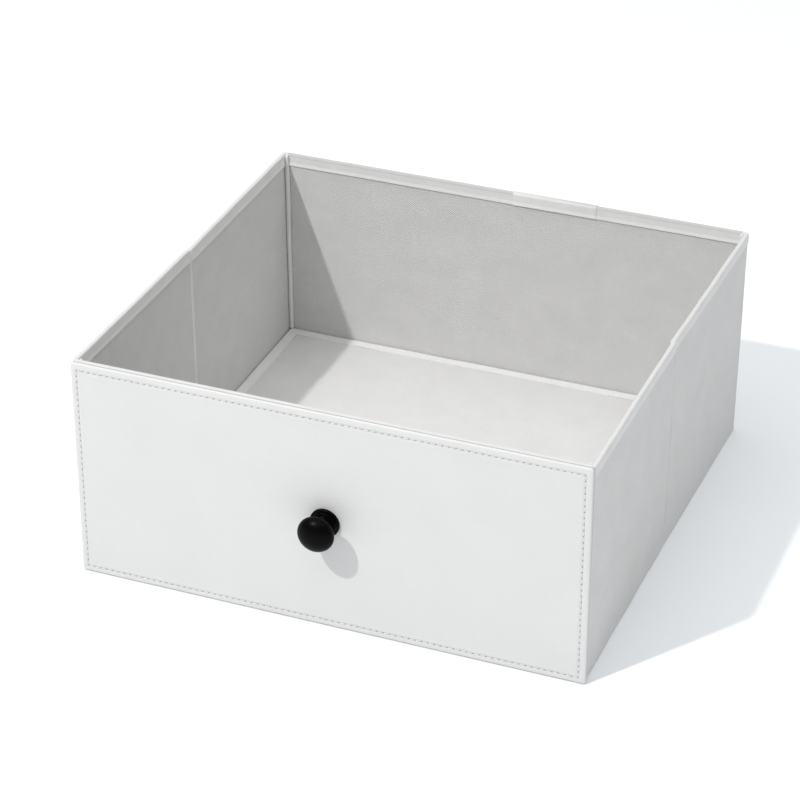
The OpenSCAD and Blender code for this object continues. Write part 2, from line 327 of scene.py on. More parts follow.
def corner_stations(start):
    """Stations from one leg of a corner to the other, dense in the turn."""
    end = start + TURN
    before = np.linspace(start - LEG, start, 5)[:-1]
    after = np.linspace(end, end + LEG, 5)[1:]
    return np.concatenate([before, np.linspace(start, end, 9), after])


def wall_sheet(name, places, path, material, slot, thick=CLOTH):
    """A layer of a wall: a sheet whose section is a path in (outward, up), swept round the plan."""
    at, out = (np.array(v) for v in zip(*(plan(s) for s in places), strict=True))
    sides = []
    for side in two_sides(path, thick):
        flat = at[:, None, :] + out[:, None, :] * side[None, :, :1]
        up = np.broadcast_to(side[None, :, 1:], (*flat.shape[:2], 1))
        sides.append(settle(np.concatenate([flat, up], -1)))
    piece = shell(name, *sides, material, crossed(places, lengths(path) + path[0][1]))
    return piece


# ---- materials ----


class Nodes:
    """A new material, and short calls for building its node tree. A number or a socket goes
    into each input."""

    def __init__(self, name):
        self.material = bpy.data.materials.new(name)
        self.material.use_nodes = True
        self.tree = self.material.node_tree
        self.shader = self.tree.nodes["Principled BSDF"]

    def put(self, kind, inputs=(), **settings):
        node = self.tree.nodes.new(kind)
        for key, value in settings.items():
            setattr(node, key, value)
        for key, value in dict(inputs).items():
            if isinstance(value, bpy.types.NodeSocket):
                self.tree.links.new(value, node.inputs[key])
            else:
                node.inputs[key].default_value = value
        return node

    def maths(self, operation, a, b=0.0):
        return self.put("ShaderNodeMath", {0: a, 1: b}, operation=operation).outputs[0]

    def times(self, a, b):
        return self.maths("MULTIPLY", a, b)

    def noise(self, vector, scale, detail=3.0, roughness=0.5):
        inputs = {"Vector": vector, "Scale": scale, "Detail": detail, "Roughness": roughness}
        return self.put("ShaderNodeTexNoise", inputs).outputs["Fac"]

    def spread(self, value, low, high, to_low=0.0, to_high=1.0):
        inputs = {"Value": value, "From Min": low, "From Max": high, "To Min": to_low, "To Max": to_high}
        return self.put("ShaderNodeMapRange", inputs).outputs["Result"]

    def tint(self, factor, dark, light):
        ends = [c if isinstance(c, bpy.types.NodeSocket) else (*c, 1) for c in (dark, light)]
        inputs = {0: factor, 6: ends[0], 7: ends[1]}
        return self.put("ShaderNodeMix", inputs, data_type="RGBA").outputs[2]

    def mix(self, first, share, second, other):
        """The sum of two heights or shades, each times its share."""
        return self.maths("ADD", self.times(first, share), self.times(second, other))

    def cloth_place(self):
        """Where a point lies on the flat sheet, in metres: the place, and its two parts."""
        place = self.put("ShaderNodeUVMap", uv_map="cloth").outputs["UV"]
        split = self.put("ShaderNodeSeparateXYZ", {"Vector": place})
        return place, split.outputs["X"], split.outputs["Y"]

    def place(self, scale=(1.0, 1.0, 1.0)):
        """Coordinates in metres for a rigid piece."""
        place = self.put("ShaderNodeTexCoord").outputs["Object"]
        return self.put("ShaderNodeMapping", {"Vector": place, "Scale": scale}).outputs["Vector"]

    def surface(self, colour, roughness, height, distance, strength):
        """Links the look to the shader: its colour, its roughness and its relief."""
        relief = {"Height": height, "Distance": distance, "Strength": strength}
        normal = self.put("ShaderNodeBump", relief).outputs["Normal"]
        self.tree.links.new(colour, self.shader.inputs["Base Color"])
        self.tree.links.new(roughness, self.shader.inputs["Roughness"])
        self.tree.links.new(normal, self.shader.inputs["Normal"])


PAINTED_SHADE_COLOUR = (0.10, 0.096, 0.092)     # painted shade, for the needle holes, the panel's lower and back edges and the rim tape's fold


def cloth_material(name, light, dark, emboss, pitch):
    """White spunbond cloth: fine matted fibres, pressed with small points in a diamond pattern."""
    n = Nodes(name)
    place, u, v = n.cloth_place()
    turn = math.pi / pitch
    rise = n.maths("SINE", n.times(n.maths("ADD", u, v), turn))
    fall = n.maths("SINE", n.times(n.maths("SUBTRACT", u, v), turn))
    points = n.spread(n.maths("ABSOLUTE", n.times(rise, fall)), 0.35, 0.9)
    fibre = n.noise(place, 5200.0, 4.0, 0.65)
    drawn = n.put("ShaderNodeMapping", {"Vector": place, "Scale": (1.0, 6.0, 1.0)}).outputs["Vector"]
    strands = n.noise(drawn, 900.0, 3.0)
    cloud = n.noise(place, 38.0, 5.0, 0.62)
    height = n.maths("ADD", n.mix(points, -emboss, fibre, 0.35), n.times(strands, 0.25))
    shade = n.mix(cloud, 0.75, fibre, 0.2)
    cloth = n.tint(n.spread(shade, 0.25, 0.7), dark, light)
    pressed = tuple(c * 0.55 for c in dark)
    cloth = n.tint(n.times(points, 0.3 * emboss), cloth, pressed)
    n.surface(cloth, n.spread(fibre, 0.3, 0.7, 0.77, 0.93), height, 0.12 * MM, 0.8)
    n.shader.inputs["Specular IOR Level"].default_value = 0.25
    n.shader.inputs["Sheen Weight"].default_value = 0.15
    n.shader.inputs["Sheen Roughness"].default_value = 0.5
    return n.material


def tape_material(name, light, dark, fold_shade=0.0, fade=None):
    """Woven binding tape: close ribs across the strip with a soft sheen. Its fold darkening is
    painted shade where it folds over the rim. fade holds two places along the strip, and the
    light, dark and fold darkening at the first, which go over to the main ones toward the second."""
    n = Nodes(name)
    place, u, v = n.cloth_place()
    warp = n.maths("SINE", n.times(u, 2 * math.pi / (0.7 * MM)))
    weft = n.maths("SINE", n.times(v, 2 * math.pi / (0.6 * MM)))
    weave = n.times(warp, weft)
    if fade:
        start, end, first_light, first_dark, first_fold_shade = fade
        share = n.spread(u, start, end)
        light, dark = n.tint(share, first_light, light), n.tint(share, first_dark, dark)
        fold_shade = n.spread(share, 0.0, 1.0, first_fold_shade, fold_shade)
    fibre = n.noise(place, 4200.0, 4.0, 0.6)
    cloud = n.noise(place, 55.0, 4.0, 0.6)
    height = n.mix(weave, 0.5, fibre, 0.4)
    shade = n.mix(cloud, 0.8, weave, 0.07)
    tape = n.tint(n.spread(shade, 0.2, 0.65), dark, light)
    # Painted shade: the tape is darkened along its fold over the rim.
    off_fold = n.maths("ABSOLUTE", n.maths("SUBTRACT", v, RIM + MM))
    shaded_fold = n.spread(off_fold, 1.5 * MM, 3.5 * MM, fold_shade, 0.0)
    n.surface(n.tint(shaded_fold, tape, PAINTED_SHADE_COLOUR), n.spread(fibre, 0.3, 0.7, 0.66, 0.8), height, 0.1 * MM, 0.7)
    n.shader.inputs["Specular IOR Level"].default_value = 0.3
    n.shader.inputs["Sheen Weight"].default_value = 0.2
    return n.material


def leather_material(name, light, dark):
    """Coated faux leather: pebbles parted by fine creases, with an even satin coat."""
    n = Nodes(name)
    place = n.place()
    bent = n.put("ShaderNodeTexNoise", {"Vector": place, "Scale": 420.0, "Detail": 2.0}).outputs["Color"]
    offset = n.put("ShaderNodeVectorMath", {0: bent, 1: (0.5, 0.5, 0.5)}, operation="SUBTRACT").outputs[0]
    scaled = n.put("ShaderNodeVectorMath", {0: offset, "Scale": 0.8 * MM}, operation="SCALE").outputs[0]
    warped = n.put("ShaderNodeVectorMath", {0: place, 1: scaled}, operation="ADD").outputs[0]
    cells = n.put("ShaderNodeTexVoronoi", {"Vector": warped, "Scale": 900.0}, feature="DISTANCE_TO_EDGE")
    crease = n.spread(cells.outputs["Distance"], 0.0, 0.22)
    fine = n.noise(place, 2600.0, 3.0)
    cloud = n.noise(place, 24.0, 4.0, 0.55)
    height = n.maths("ADD", crease, n.times(fine, 0.35))
    shade = n.mix(cloud, 0.6, crease, 0.4)
    unshaded = n.tint(n.spread(shade, 0.3, 0.75), dark, light)
    # Painted shade from a mesh attribute: dark in the needle holes and along the lower and back edges.
    painted_shade = n.put("ShaderNodeAttribute", attribute_name="painted_shade").outputs["Fac"]
    colour = n.tint(n.times(painted_shade, 0.95), unshaded, PAINTED_SHADE_COLOUR)
    n.surface(colour, n.spread(fine, 0.3, 0.7, 0.44, 0.56), height, 0.05 * MM, 0.55)
    n.shader.inputs["Specular IOR Level"].default_value = 0.4
    return n.material


def board_material(name, light, dark):
    """Grey recycled board: pressed fibres with darker and lighter specks."""
    n = Nodes(name)
    fibre = n.noise(n.place((1.0, 1.0, 3.0)), 1400.0, 5.0, 0.7)
    speck = n.noise(n.place(), 3800.0, 2.0)
    cloud = n.noise(n.place(), 40.0, 3.0)
    shade = n.maths("SUBTRACT", n.mix(fibre, 0.6, cloud, 0.4), n.spread(speck, 0.66, 0.74, 0.0, 0.35))
    colour = n.tint(n.spread(shade, 0.25, 0.75), dark, light)
    n.surface(colour, n.spread(fibre, 0.3, 0.7, 0.82, 0.95), fibre, 0.08 * MM, 0.6)
    return n.material


def thread_material(name, light, dark):
    """Two-ply polyester thread."""
    n = Nodes(name)
    place = n.place()
    fibre = n.noise(place, 9000.0, 3.0, 0.6)
    cloud = n.noise(place, 260.0, 2.0)
    colour = n.tint(n.spread(n.mix(fibre, 0.5, cloud, 0.5), 0.3, 0.7), dark, light)
    n.surface(colour, n.spread(fibre, 0.3, 0.7, 0.5, 0.7), fibre, 0.05 * MM, 0.6)
    n.shader.inputs["Sheen Weight"].default_value = 0.3
    return n.material


def gloss_material(name, light, dark):
    """Gloss black moulding: faint handling marks and a very slight orange peel."""
    n = Nodes(name)
    peel = n.noise(n.place(), 160.0, 2.0)
    marks = n.noise(n.place((1.0, 1.0, 14.0)), 300.0, 5.0, 0.7)
    colour = n.tint(n.spread(marks, 0.3, 0.7), dark, light)
    n.surface(colour, n.spread(marks, 0.35, 0.75, 0.3, 0.4), peel, 0.06 * MM, 0.25)
    n.shader.inputs["Specular IOR Level"].default_value = 0.06
    return n.material


def metal_material(name, light, dark, rough, stretch):
    """Machined or plated metal: fine tool marks and a slightly uneven tone."""
    n = Nodes(name)
    marks = n.noise(n.place(stretch), 900.0, 4.0, 0.6)
    cloud = n.noise(n.place(), 300.0, 3.0)
    colour = n.tint(n.spread(cloud, 0.3, 0.7), dark, light)
    n.surface(colour, n.spread(marks, 0.3, 0.7, rough - 0.08, rough + 0.1), marks, 0.03 * MM, 0.5)
    n.shader.inputs["Metallic"].default_value = 1.0
    return n.material


OUTER = cloth_material("outer_cloth", (0.745, 0.745, 0.74), (0.675, 0.675, 0.67), 1.0, 1.6 * MM)
INNER = cloth_material("inner_cloth", (0.76, 0.76, 0.757), (0.68, 0.68, 0.677), 2.2, 1.8 * MM)
BASE = cloth_material("base_cloth", (0.71, 0.71, 0.70), (0.63, 0.63, 0.62), 0.8, 1.6 * MM)
FLOOR = cloth_material("floor_cloth", (0.715, 0.714, 0.708), (0.65, 0.649, 0.643), 0.9, 1.8 * MM)
# Lighter cloth for the crease strips' lining: partly a painted highlight along the crease ridge, partly
# the whitening of creased cloth.
CREASE_HIGHLIGHT_AND_WHITENING = cloth_material("creased_cloth", (0.88, 0.88, 0.875), (0.80, 0.80, 0.795), 0.4, 1.8 * MM)
# Painted shade: the rim tapes are darkened at their fold, and the back wall's tape is a darker, more
# shaded copy of the same tape.
TAPE = tape_material("rim_tape", (0.82, 0.82, 0.817), (0.76, 0.76, 0.757), 0.15)
BACK_TAPE = tape_material("rim_tape_shaded", (0.79, 0.79, 0.787), (0.73, 0.73, 0.727), 0.35)
LAP_TAPE = tape_material("rim_tape_doubled", (0.83, 0.83, 0.827), (0.77, 0.77, 0.767), 0.2,
                         (LAP_START, LAP_END, (0.79, 0.79, 0.787), (0.73, 0.73, 0.727), 0.35))
FLOOR_TAPE = tape_material("floor_tape", (0.81, 0.81, 0.805), (0.76, 0.76, 0.755))
PIPING = tape_material("corner_piping", (0.80, 0.80, 0.797), (0.74, 0.74, 0.737))
LEATHER = leather_material("faux_leather", (0.71, 0.708, 0.705), (0.675, 0.673, 0.67))
THREAD = thread_material("seam_thread", (0.84, 0.84, 0.835), (0.72, 0.72, 0.71))
GREY_BOARD = board_material("grey_board", (0.60, 0.58, 0.54), (0.44, 0.42, 0.39))
PANEL_BOARD = board_material("panel_board", (0.58, 0.55, 0.50), (0.42, 0.39, 0.35))
BLACK = gloss_material("knob_plastic", (0.0012, 0.0012, 0.0013), (0.0006, 0.0006, 0.0007))
BRASS = metal_material("insert_brass", (0.80, 0.62, 0.30), (0.70, 0.52, 0.24), 0.3, (1.0, 30.0, 1.0))
STEEL = metal_material("plated_steel", (0.74, 0.75, 0.76), (0.64, 0.65, 0.67), 0.34, (8.0, 1.0, 8.0))

for node, material in {
    "front_board": PANEL_BOARD,
    "knob_insert": BRASS,
    "knob_screw": STEEL,
    "knob_washer": STEEL,
}.items():
    mesh = frame["nodes"][node].data
    mesh.materials.clear()
    mesh.materials.append(material)

# ---- cloth walls ----

CREASE_HALF = 1.5 * MM      # half width of a crease piece
BOARD_SHORT = 0.8 * MM      # the boards end this far inside the straight pieces
TAPE_ROUND = 1.2 * MM
TAPE_LIP, TAPE_HEM = 0.6 * MM, 3.2 * MM
UNDER_TAPE = RIM - 1.6 * MM # the cloth ends out of sight under the tape
HEM_TURN = 6 * MM           # how far the hem comes up again on the inside

SKIN_V = WALL_T - CLOTH / 2
LINING_V = CLOTH / 2
BOARD_V = WALL_T / 2
TAPE_OUT_V, TAPE_IN_V = WALL_T + CLOTH / 2, -CLOTH / 2
TAPE_MID = RIM - CLOTH / 2


def up_path(v, low, high, fine=FINE):
    """A straight upright path in (outward, up)."""
    return [(v, z) for z in stations(low, high, fine=fine)]


def tape_path(lift=0.0):
    """Over the rim from the outer leg's edge to the inner leg's, whose hem stands off the
    lining. lift sets a second layer over the first."""
    turn, r = TAPE_MID - TAPE_ROUND, TAPE_ROUND + lift
    outer = [(TAPE_OUT_V + lift, z) for z in np.linspace(TAPE_OUT_LOW, turn, 6)[:-1]]
    inner = [(TAPE_IN_V - lift - TAPE_LIP * smooth((TAPE_IN_LOW + TAPE_HEM - z) / TAPE_HEM), z)
             for z in np.linspace(turn, TAPE_IN_LOW, 15)[1:]]
    over = arc((TAPE_OUT_V - TAPE_ROUND, turn), r, r, 0, 90, 6)
    down = arc((TAPE_IN_V + TAPE_ROUND, turn), r, r, 90, 180, 6)
    return [*outer, *map(tuple, over), *map(tuple, down), *inner]


def hem_path(top):
    """The outer cloth's lower edge, turned up on the inside."""
    fold = 0.3 * MM
    low = HEM_LOW + CLOTH / 2 + fold
    down = up_path(SKIN_V, top, low, 0.8 * MM)[:-1]
    turn = arc((SKIN_V - fold, low), fold, fold, 0, -180, 8)
    return [*down, *map(tuple, turn), (SKIN_V - 2 * fold, low + HEM_TURN)]


CLOTH_LAYERS = ("skin", "lining", "rim_tape")


def layer(wall, kind, places, low=WALL_LOW, lining=INNER):
    """One layer of a wall, and the length of its section."""
    paths = {
        "skin": lambda: up_path(SKIN_V, low, UNDER_TAPE),
        "lining": lambda: up_path(LINING_V, low + CLOTH, UNDER_TAPE),
        "board": lambda: up_path(BOARD_V, low + CLOTH, RIM - 0.7 * MM),
        "rim_tape": tape_path,
    }
    tape = BACK_TAPE if wall == "back" else TAPE
    finishes = {"skin": (OUTER, "outer_cloth"), "lining": (lining, "inner_cloth"),
                "board": (GREY_BOARD, "grey_board"), "rim_tape": (tape, "rim_tape")}
    path = paths[kind]()
    thick = WALL_T - 2 * CLOTH if kind == "board" else CLOTH
    return wall_sheet(f"{wall}_{kind}", places, path, *finishes[kind], thick), lengths(path)[-1]


# Each wall: where its straight cloth starts and ends, its lower edge and its body
AFTER_TURN = TURN + LEG
WALLS = {
    "front_wall": (FRONT_LEFT + AFTER_TURN - PLAN_END, FRONT_RIGHT - LEG, HEM_LOW, "front_and_base"),
    "right_front": (FRONT_RIGHT + AFTER_TURN, RIGHT_CREASE - CREASE_HALF, WALL_LOW, "right_front_wall"),
    "right_rear": (RIGHT_CREASE + CREASE_HALF, REAR_RIGHT - LEG, WALL_LOW, "right_rear_wall"),
    "back": (REAR_RIGHT + AFTER_TURN, REAR_LEFT - LEG, WALL_LOW, "back_wall"),
    "left_rear": (REAR_LEFT + AFTER_TURN, LEFT_CREASE - CREASE_HALF, WALL_LOW, "left_rear_wall"),
    "left_front": (LEFT_CREASE + CREASE_HALF, FRONT_LEFT - LEG, WALL_LOW, "left_front_wall"),
}

# The narrow cloth pieces that belong to the sheet of a wall, by wall and layer
strips = {(wall, kind): [] for wall in WALLS for kind in CLOTH_LAYERS}


def strip(wall, name, places, lining=INNER):
    """Cloth of each layer that bends between two walls."""
    for kind in CLOTH_LAYERS:
        piece, _ = layer(name, kind, places, lining=lining)
        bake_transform(piece)
        strips[wall, kind].append(piece)


def fold_strips():
    """The cloth at both creases and at the three closed corners that fold."""
    right, left = ("right", 1, RIGHT_CREASE, FRONT_RIGHT), ("left", -1, LEFT_CREASE, FRONT_LEFT)
    for side, x, crease, corner in (right, left):
        wall = f"{side}_front"
        # The crease lining takes the lighter cloth: a painted highlight on the crease, with the whitening
        # of creased cloth.
        strip(
            wall, f"{side}_crease", np.linspace(crease - CREASE_HALF, crease + CREASE_HALF, 17),
            CREASE_HIGHLIGHT_AND_WHITENING,
        )
        strip(
            wall, f"{side}_front_corner", corner_stations(corner),
        )
    strip(
        "back", "rear_left_corner", corner_stations(REAR_LEFT),
    )


def open_corner():
    """The rear right corner, where the loop of walls opens: its cloth stays on the back wall."""
    for kind in CLOTH_LAYERS:
        piece, _ = layer("rear_right_corner", kind, corner_stations(REAR_RIGHT))
        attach(piece, "back_wall")
        strips["back", kind].append(piece)


# Below the straight cloth of the folding walls, the lining's edge reaches down beside the
# floor and the outer cloth's hem hangs to the ground. Both crumple up under the wall in a fold.
EDGE_LOW = FLOOR_LO.z + 2 * MM
EDGE_PART = 0.02 * MM       # a hair between the lining and its edge


def lower_edges(wall, start, end, low, body):
    """The lining's edge and the hem of one wall. At a crease they reach its middle."""
    from_crease = CREASE_HALF if wall in ("right_rear", "left_front") else 0
    to_crease = CREASE_HALF if wall in ("right_front", "left_rear") else 0
    places = stations(start - from_crease, end + to_crease)
    edge = up_path(LINING_V, EDGE_LOW, low + CLOTH - EDGE_PART)
    piece = wall_sheet(f"{wall}_lining_edge", places, edge, INNER, "inner_cloth")
    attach(piece, body)
    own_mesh(piece)
    strips[wall, "lining"].append(piece)
    path = hem_path(WALL_LOW)
    piece = wall_sheet(f"{wall}_hem", places, path, OUTER, "outer_cloth")
    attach(piece, body)
    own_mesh(piece)
    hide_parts(f"{wall}_hem")


def straight_layers(wall, start, end, low, body):
    """The cloth, tape and board of one wall between its fold lines."""
    for kind in (*CLOTH_LAYERS, "board"):
        inset = BOARD_SHORT if kind == "board" else 0
        piece, tall = layer(wall, kind, stations(start + inset, end - inset), low)
        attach(piece, body)
        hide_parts(f"{wall}_{kind}")


def tape_lap():
    """The rim tape runs round in one length, and its end laps over its start at the back."""
    path = tape_path(CLOTH)
    places = stations(LAP_START, LAP_END)
    piece = wall_sheet("rim_tape_lap", places, path, LAP_TAPE, "rim_tape")
    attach(piece, "back_wall")


def corner_hem(name, start, body):
    """The outer cloth's lower edge round a corner."""
    places = corner_stations(start)
    piece = wall_sheet(f"{name}_corner_hem", places, hem_path(WALL_LOW), OUTER, "outer_cloth")
    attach(piece, body)
    if body == "back_wall":
        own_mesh(piece)


fold_strips()
open_corner()
for wall, run in WALLS.items():
    if wall != "front_wall":
        lower_edges(wall, *run)
for wall, run in WALLS.items():
    straight_layers(wall, *run)
tape_lap()
corner_hem("front_right", FRONT_RIGHT, "front_and_base")
corner_hem("rear_right", REAR_RIGHT, "back_wall")
corner_hem("rear_left", REAR_LEFT, "back_wall")
corner_hem("front_left", FRONT_LEFT, "front_and_base")

SLEEVE_R, SLEEVE_T = 4.3 * MM, 0.4 * MM


def corner_sleeve():
    """Cloth round the open corner's hinge line, which turns with the side wall. It is out of
    sight until that wall folds."""
    turns = np.radians(np.linspace(-12, 88, 33))[:, None]
    up = stations(WALL_LOW, RIM - 0.9 * MM)[None, :]
    sides = []
    for r in (SLEEVE_R + SLEEVE_T / 2, SLEEVE_R - SLEEVE_T / 2):
        x, y = HINGE_X + r * np.cos(turns), HINGE_BACK + r * np.sin(turns)
        sides.append(settle(spread_out(x, y, up)))
    piece = shell("rear_right_sleeve", *sides, OUTER, spread_out(turns * SLEEVE_R, up))
    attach(piece, "right_rear_wall")


corner_sleeve()

# ---- corner piping ----


def closed_tube(name, rings, material, sharp=42, rings_uv=None):
    """A closed skin over a row of closed rings, capped at both ends."""
    ids = numbered(rings)
    faces = ring_quads(ids)
    uv = rings_uv if rings_uv is not None else np.zeros((len(ids), len(ids[0]) + 1, 2))
    places = grid_quads(uv).reshape(-1, 2)
    ends = [list(ids[0]), list(ids[-1])]
    places = np.concatenate([places, uv[0, :-1], uv[-1, :-1]])
    return mesh_piece(name, rings, [*faces, *ends], material, places, sharp)


def piping(name, x, y, wall_y, body, radius):
    """A corded seam in an inner corner, its tail sewn down on the wall behind it."""
    toward = math.copysign(1, wall_y - y)
    up = stations(WALL_LOW, RIM - 0.8 * MM, 2 * MM, 0.2 * MM)
    around = np.radians(np.linspace(28, 332, 27)) + toward * math.pi / 2
    rings = []
    for z in up:
        end = min(z - up[0], up[-1] - z)
        r = radius * (0.7 + 0.3 * smooth(end / (0.8 * MM))) * (1 + 0.03 * ripple(z, x, 7))
        r *= 1 - 0.28 * smooth((z - TAPE_IN_LOW) / (2 * MM) + 1)
        reach = abs(wall_y - y) - (CLOTH if z > TAPE_IN_LOW - 0.5 * MM else 0)
        ring = [(x + r * math.cos(a), y + r * math.sin(a)) for a in around]
        half = 0.35 * MM * toward
        ring += [(x + half, y + toward * reach), (x - half, y + toward * reach)]
        rings.append([(px, py, z) for px, py in ring])
    rings = settle(np.array(rings))
    girth = lengths(np.vstack([rings[0], rings[0][:1]]))
    piece = closed_tube(name, rings, PIPING, rings_uv=crossed(up, girth))
    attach(piece, body)
    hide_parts(name)


for side, x in (("left", -HINGE_X), ("right", HINGE_X)):
    piping(f"front_{side}_piping", x, HINGE_FRONT, FRONT_IN, "front_and_base", PIPING_R)
    piping(f"rear_{side}_piping", x, HINGE_BACK, BACK_IN, "back_wall", REAR_PIPING_R)

# ---- base cloth and its turned-down edges ----

BASE_SAG = 2.5 * MM


def base_cloth():
    x = stations(BASE_LO.x, BASE_HI.x, 5 * MM, MM)[:, None]
    y = stations(BASE_LO.y, BASE_HI.y, 5 * MM, MM)[None, :]
    back_share = (y - BASE_LO.y) / (BASE_HI.y - BASE_LO.y)
    inside = np.cos(math.pi / 2 * x / BASE_HI.x) * np.sin(math.pi * back_share)
    drop = np.sqrt(np.clip(inside, 0, 1)) * (BASE_SAG + 0.8 * MM * ripple(x, y, 11))
    thick = BASE_HI.z - BASE_LO.z
    sides = [settle(spread_out(x, y, z)) for z in (BASE_HI.z - drop, BASE_HI.z - thick - drop)]
    piece = shell("base_cloth_sheet", *sides, BASE, spread_out(x, y))
    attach(piece, "front_and_base")
    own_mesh(piece)
    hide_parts("base_cloth")


def base_band(name, start, end, near, thick, top):
    """The base cloth's edge: down to the ground, folded, and up behind itself. near is the
    band's face toward the floor, outward of the walls' inner face."""
    lo = near + CLOTH / 2
    hi = lo + thick - CLOTH
    fold = (hi - lo) / 2
    low = fold + CLOTH / 2
    turn = arc(((lo + hi) / 2, low), fold, fold, 180, 360, 10)
    path = [(lo, BASE_LO.z), (lo, (BASE_LO.z + low) / 2), *map(tuple, turn), (hi, top / 2), (hi, top)]
    places = stations(start, end)
    piece = wall_sheet(f"{name}_band", places, path, BASE, "base_cloth")
    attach(piece, "front_and_base")
    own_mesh(piece)
    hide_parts(f"{name}_base_band")


base_cloth()
base_band("right", FRONT_RIGHT + TURN, REAR_RIGHT, -0.1 * MM, 2.0 * MM, BAND_TOP)
base_band("left", REAR_LEFT + TURN, FRONT_LEFT, -0.1 * MM, 2.0 * MM, BAND_TOP)
# The back band stays low, and slides forward under the floor as the walls fold.
SHORT = 2 * MM
base_band("back", REAR_RIGHT + TURN + SHORT, REAR_LEFT - SHORT, 0, 1.5 * MM, BASE_LO.z)

# ---- loose floor ----


def outline(half_x, half_y, radius, inset, steps_x, steps_y, corner_steps):
    """Points round a rectangle with round corners, set in from its edge, anticlockwise from
    the lower right corner."""
    r = max(radius - inset, 0.3 * MM)
    ax, ay = half_x - inset - r, half_y - inset - r
    arcs = [arc((sx * ax, sy * ay), r, r, a, a + 90, corner_steps)
            for sx, sy, a in ((1, -1, -90), (1, 1, 0), (-1, 1, 90), (-1, -1, 180))]
    points = []
    for k, steps in enumerate((steps_y, steps_x, steps_y, steps_x)):
        a, b = arcs[k][-1], arcs[(k + 1) % 4][0]
        points += [*arcs[k], *(a + (b - a) * t for t in np.linspace(0, 1, steps + 1)[1:-1])]
    return np.array(points)


FLOOR_GAP = 0.2 * MM        # what stays free between the floor's edge and the walls
FLOOR_BACK = BACK_IN - BACK_BOW * math.sin(math.pi * FLOOR_HI.z / RIM) - RIPPLE - FLOOR_GAP
FLOOR_X = WALL_X - RIPPLE - FLOOR_GAP
FLOOR_Y = (FLOOR_BACK - FLOOR_LO.y) / 2
FLOOR_MID_Y = (FLOOR_BACK + FLOOR_LO.y) / 2
FLOOR_R = 3 * MM
BINDING = 10 * MM


def fit_floor(points):
    """The soft edge of the floor, pressed to the line of the walls' feet."""
    x, y, z = np.moveaxis(points, -1, 0)
    return np.stack([x + side_lean(y, FLOOR_HI.z) * x / FLOOR_X, y, z], -1)


def floor_rings(section, *steps):
    """The floor's outline at each inset and height of a section."""
    rings = []
    for inset, z in section:
        ring = outline(FLOOR_X, FLOOR_Y, FLOOR_R, inset, *steps)
        rings.append([(x, y + FLOOR_MID_Y, z) for x, y in ring])
    return np.array(rings)


def floor_binding():
    """Tape folded round the floor's edge."""
    edge = (FLOOR_HI.z - FLOOR_LO.z - CLOTH) / 2
    mid = (FLOOR_HI.z + FLOOR_LO.z) / 2
    turn = arc((edge + CLOTH / 2, mid), -edge, edge, 90, -90, 12)
    flat = np.linspace(BINDING, turn[0][0], 8)[:-1]
    over, under = ([(d, mid + rise) for d in flat] for rise in (edge, -edge))
    path = [*over, *map(tuple, turn), *under[::-1]]
    sides = []
    for side in two_sides(path, CLOTH):
        points = floor_rings(side, 128, 124, 10).transpose(1, 0, 2)
        around = lengths(np.vstack([points[:, 8], points[:1, 8]]))
        points[..., 2] += 0.09 * MM * ripple(points[..., 0], points[..., 1], 17)
        sides.append(fit_floor(points))
    piece = shell("floor_border", *sides, FLOOR_TAPE, crossed(around, lengths(path)), loop=True)
    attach(piece, "floor")
    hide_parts("floor_binding")


def floor_cover(name, node, z, seed):
    """One cloth face of the floor, its edges out of sight under the binding."""
    under = 4 * MM
    cell = 4 * MM
    x = stations(under - FLOOR_X, FLOOR_X - under, cell, cell)[:, None]
    y = stations(FLOOR_LO.y + under, FLOOR_BACK - under, cell, cell)[None, :]
    middle = z + 0.1 * MM * ripple(x, y, seed)
    sides = [fit_floor(spread_out(x, y, middle + half)) for half in (CLOTH / 2, -CLOTH / 2)]
    piece = shell(name, *sides, FLOOR, spread_out(x, y))
    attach(piece, "floor")
    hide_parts(node)


def floor_board():
    """The stiff board inside, a plate with eased edges."""
    low, high = FLOOR_LO.z + 3 * CLOTH, FLOOR_HI.z - 3 * CLOTH
    edge, ease = 1.2 * MM, 0.3 * MM
    section = (edge + ease, low), (edge, low + ease), (edge, high - ease), (edge + ease, high)
    rings = fit_floor(floor_rings(section, 40, 40, 8))
    piece = closed_tube("floor_stiffener", rings, GREY_BOARD, sharp=30)
    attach(piece, "floor")
    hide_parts("floor_board")


floor_board()
floor_binding()
TOP_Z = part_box("floor_top_cover")[1].z - CLOTH / 2
BOTTOM_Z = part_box("floor_bottom_cover")[0].z + CLOTH / 2
floor_cover("floor_top_cloth", "floor_top_cover", TOP_Z, 19)
floor_cover("floor_bottom_cloth", "floor_bottom_cover", BOTTOM_Z, 23)

# ---- front panel ----

COVER_T = BOARD_FRONT - FACE_Y
COVER_ROUND = 1.0 * MM      # edge radius at the middle of the cover's thickness
PANEL_R = 2.5 * MM
COVER_HEM = 18 * MM
THREAD_R = 0.27 * MM
STITCH_LEN, STITCH_ARCH, STITCH_DIVE = 3.3 * MM, 0.06 * MM, 0.6 * MM
PLY_TURN, PLY_DEEP = 2.2 * math.pi, 0.16     # twist from a stitch's middle to its end
